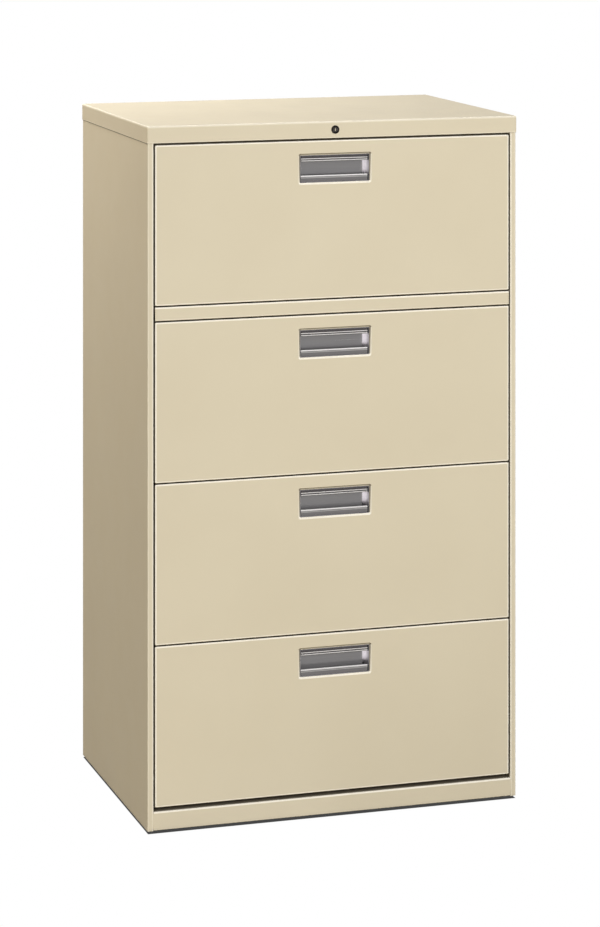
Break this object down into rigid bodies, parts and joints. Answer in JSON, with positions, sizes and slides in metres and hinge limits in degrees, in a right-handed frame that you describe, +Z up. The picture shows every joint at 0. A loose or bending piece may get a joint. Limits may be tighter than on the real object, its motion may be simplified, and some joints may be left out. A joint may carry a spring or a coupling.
{
  "type": "lateral filing cabinet",
  "caption": "Wide steel filing cabinet with full-width drawers on telescoping slides, recessed ribbed pulls, a gang lock and levelling glides.",
  "frame": {"origin": "on the floor, under the middle of the cabinet", "axes": "+X to the right as seen from the front, +Y to the back, +Z up"},
  "size_m": [0.762, 0.489, 1.3525],
  "materials": {
    "enamel": "putty baked enamel, satin",
    "pull_aluminium": "satin anodised",
    "lock_chrome": "polished plating",
    "zinc": "bright zinc plating",
    "slide_steel": "zinc plating with a film of grease",
    "weight": "hot-rolled with mill scale"
  },
  "bodies": {
    "root": {"right_side_panel": "enamel", "left_side_panel": "enamel", "back_panel": "enamel", "top_cap": "enamel", "top_rail": "enamel", "base_rail": "enamel", "base_pan": "enamel", "front_uprights": "enamel", "rear_uprights": "enamel", "filler_rail": "enamel", "glide_brackets": "zinc", "lock_nut": "zinc", "lock_keepers": "zinc", "counterweight": "weight", "lock_housing": "lock_chrome", "slide_outer_members": "slide_steel"},
    "drawer_1": {"drawer_1_front": "enamel", "drawer_1_front_liner": "enamel", "drawer_1_pull_pocket": "enamel", "drawer_1_tray": "enamel", "drawer_1_pull": "pull_aluminium", "drawer_1_hangrail": "zinc", "drawer_1_lock_catch": "zinc", "drawer_1_slide_inner": "slide_steel"},
    "drawer_2": {"drawer_2_front": "enamel", "drawer_2_front_liner": "enamel", "drawer_2_pull_pocket": "enamel", "drawer_2_tray": "enamel", "drawer_2_pull": "pull_aluminium", "drawer_2_hangrail": "zinc", "drawer_2_lock_catch": "zinc", "drawer_2_slide_inner": "slide_steel"},
    "drawer_3": {"drawer_3_front": "enamel", "drawer_3_front_liner": "enamel", "drawer_3_pull_pocket": "enamel", "drawer_3_tray": "enamel", "drawer_3_pull": "pull_aluminium", "drawer_3_hangrail": "zinc", "drawer_3_lock_catch": "zinc", "drawer_3_slide_inner": "slide_steel"},
    "drawer_4": {"drawer_4_front": "enamel", "drawer_4_front_liner": "enamel", "drawer_4_pull_pocket": "enamel", "drawer_4_tray": "enamel", "drawer_4_pull": "pull_aluminium", "drawer_4_hangrail": "zinc", "drawer_4_lock_catch": "zinc", "drawer_4_slide_inner": "slide_steel"},
    "slide_1": {"slide_1_middle": "slide_steel"},
    "slide_2": {"slide_2_middle": "slide_steel"},
    "slide_3": {"slide_3_middle": "slide_steel"},
    "slide_4": {"slide_4_middle": "slide_steel"},
    "lock_plug": {"lock_core": "lock_chrome"},
    "link": {"lock_link": "zinc"},
    "crank": {"bell_crank": "zinc"},
    "bar": {"lock_bar": "zinc"},
    "glide_front_left": {"glide_front_left": "zinc"},
    "glide_front_right": {"glide_front_right": "zinc"},
    "glide_rear_left": {"glide_rear_left": "zinc"},
    "glide_rear_right": {"glide_rear_right": "zinc"}
  },
  "joints": [
    {"name": "drawer_1_slide", "type": "slide", "parent": "root", "child": "drawer_1", "axis": [0, -1, 0], "range_m": [0, 0.4]},
    {"name": "drawer_2_slide", "type": "slide", "parent": "root", "child": "drawer_2", "axis": [0, -1, 0], "range_m": [0, 0.4]},
    {"name": "drawer_3_slide", "type": "slide", "parent": "root", "child": "drawer_3", "axis": [0, -1, 0], "range_m": [0, 0.4]},
    {"name": "drawer_4_slide", "type": "slide", "parent": "root", "child": "drawer_4", "axis": [0, -1, 0], "range_m": [0, 0.4]},
    {"name": "slide_1_middle_travel", "type": "slide", "parent": "root", "child": "slide_1", "axis": [0, -1, 0], "range_m": [0, 0.2]},
    {"name": "slide_2_middle_travel", "type": "slide", "parent": "root", "child": "slide_2", "axis": [0, -1, 0], "range_m": [0, 0.2]},
    {"name": "slide_3_middle_travel", "type": "slide", "parent": "root", "child": "slide_3", "axis": [0, -1, 0], "range_m": [0, 0.2]},
    {"name": "slide_4_middle_travel", "type": "slide", "parent": "root", "child": "slide_4", "axis": [0, -1, 0], "range_m": [0, 0.2]},
    {"name": "lock_turn", "type": "hinge", "parent": "root", "child": "lock_plug", "pos_m": [0, -0.22, 1.336], "axis": [0, 1, 0], "range_deg": [0, 90]},
    {"name": "link_travel", "type": "slide", "parent": "root", "child": "link", "axis": [1, 0, 0], "range_m": [0, 0.01132]},
    {"name": "crank_turn", "type": "hinge", "parent": "root", "child": "crank", "pos_m": [-0.35752, -0.209, 1.32735], "axis": [0, 1, 0], "range_deg": [0, 41.42]},
    {"name": "bar_travel", "type": "slide", "parent": "root", "child": "bar", "axis": [0, 0, 1], "range_m": [0, 0.01131]},
    {"name": "glide_front_left_height", "type": "slide", "parent": "root", "child": "glide_front_left", "axis": [0, 0, -1], "range_m": [0, 0.019]},
    {"name": "glide_front_right_height", "type": "slide", "parent": "root", "child": "glide_front_right", "axis": [0, 0, -1], "range_m": [0, 0.019]},
    {"name": "glide_rear_left_height", "type": "slide", "parent": "root", "child": "glide_rear_left", "axis": [0, 0, -1], "range_m": [0, 0.019]},
    {"name": "glide_rear_right_height", "type": "slide", "parent": "root", "child": "glide_rear_right", "axis": [0, 0, -1], "range_m": [0, 0.019]}
  ],
  "couplings": [
    {"joint": "slide_1_middle_travel", "follows": "drawer_1_slide", "ratio": 0.5},
    {"joint": "slide_2_middle_travel", "follows": "drawer_2_slide", "ratio": 0.5},
    {"joint": "slide_3_middle_travel", "follows": "drawer_3_slide", "ratio": 0.5},
    {"joint": "slide_4_middle_travel", "follows": "drawer_4_slide", "ratio": 0.5},
    {"joint": "lock_turn", "follows": "bar_travel", "rad_per_m": 138.84},
    {"joint": "link_travel", "follows": "bar_travel", "ratio": 1},
    {"joint": "crank_turn", "follows": "bar_travel", "rad_per_m": 63.881}
  ]
}
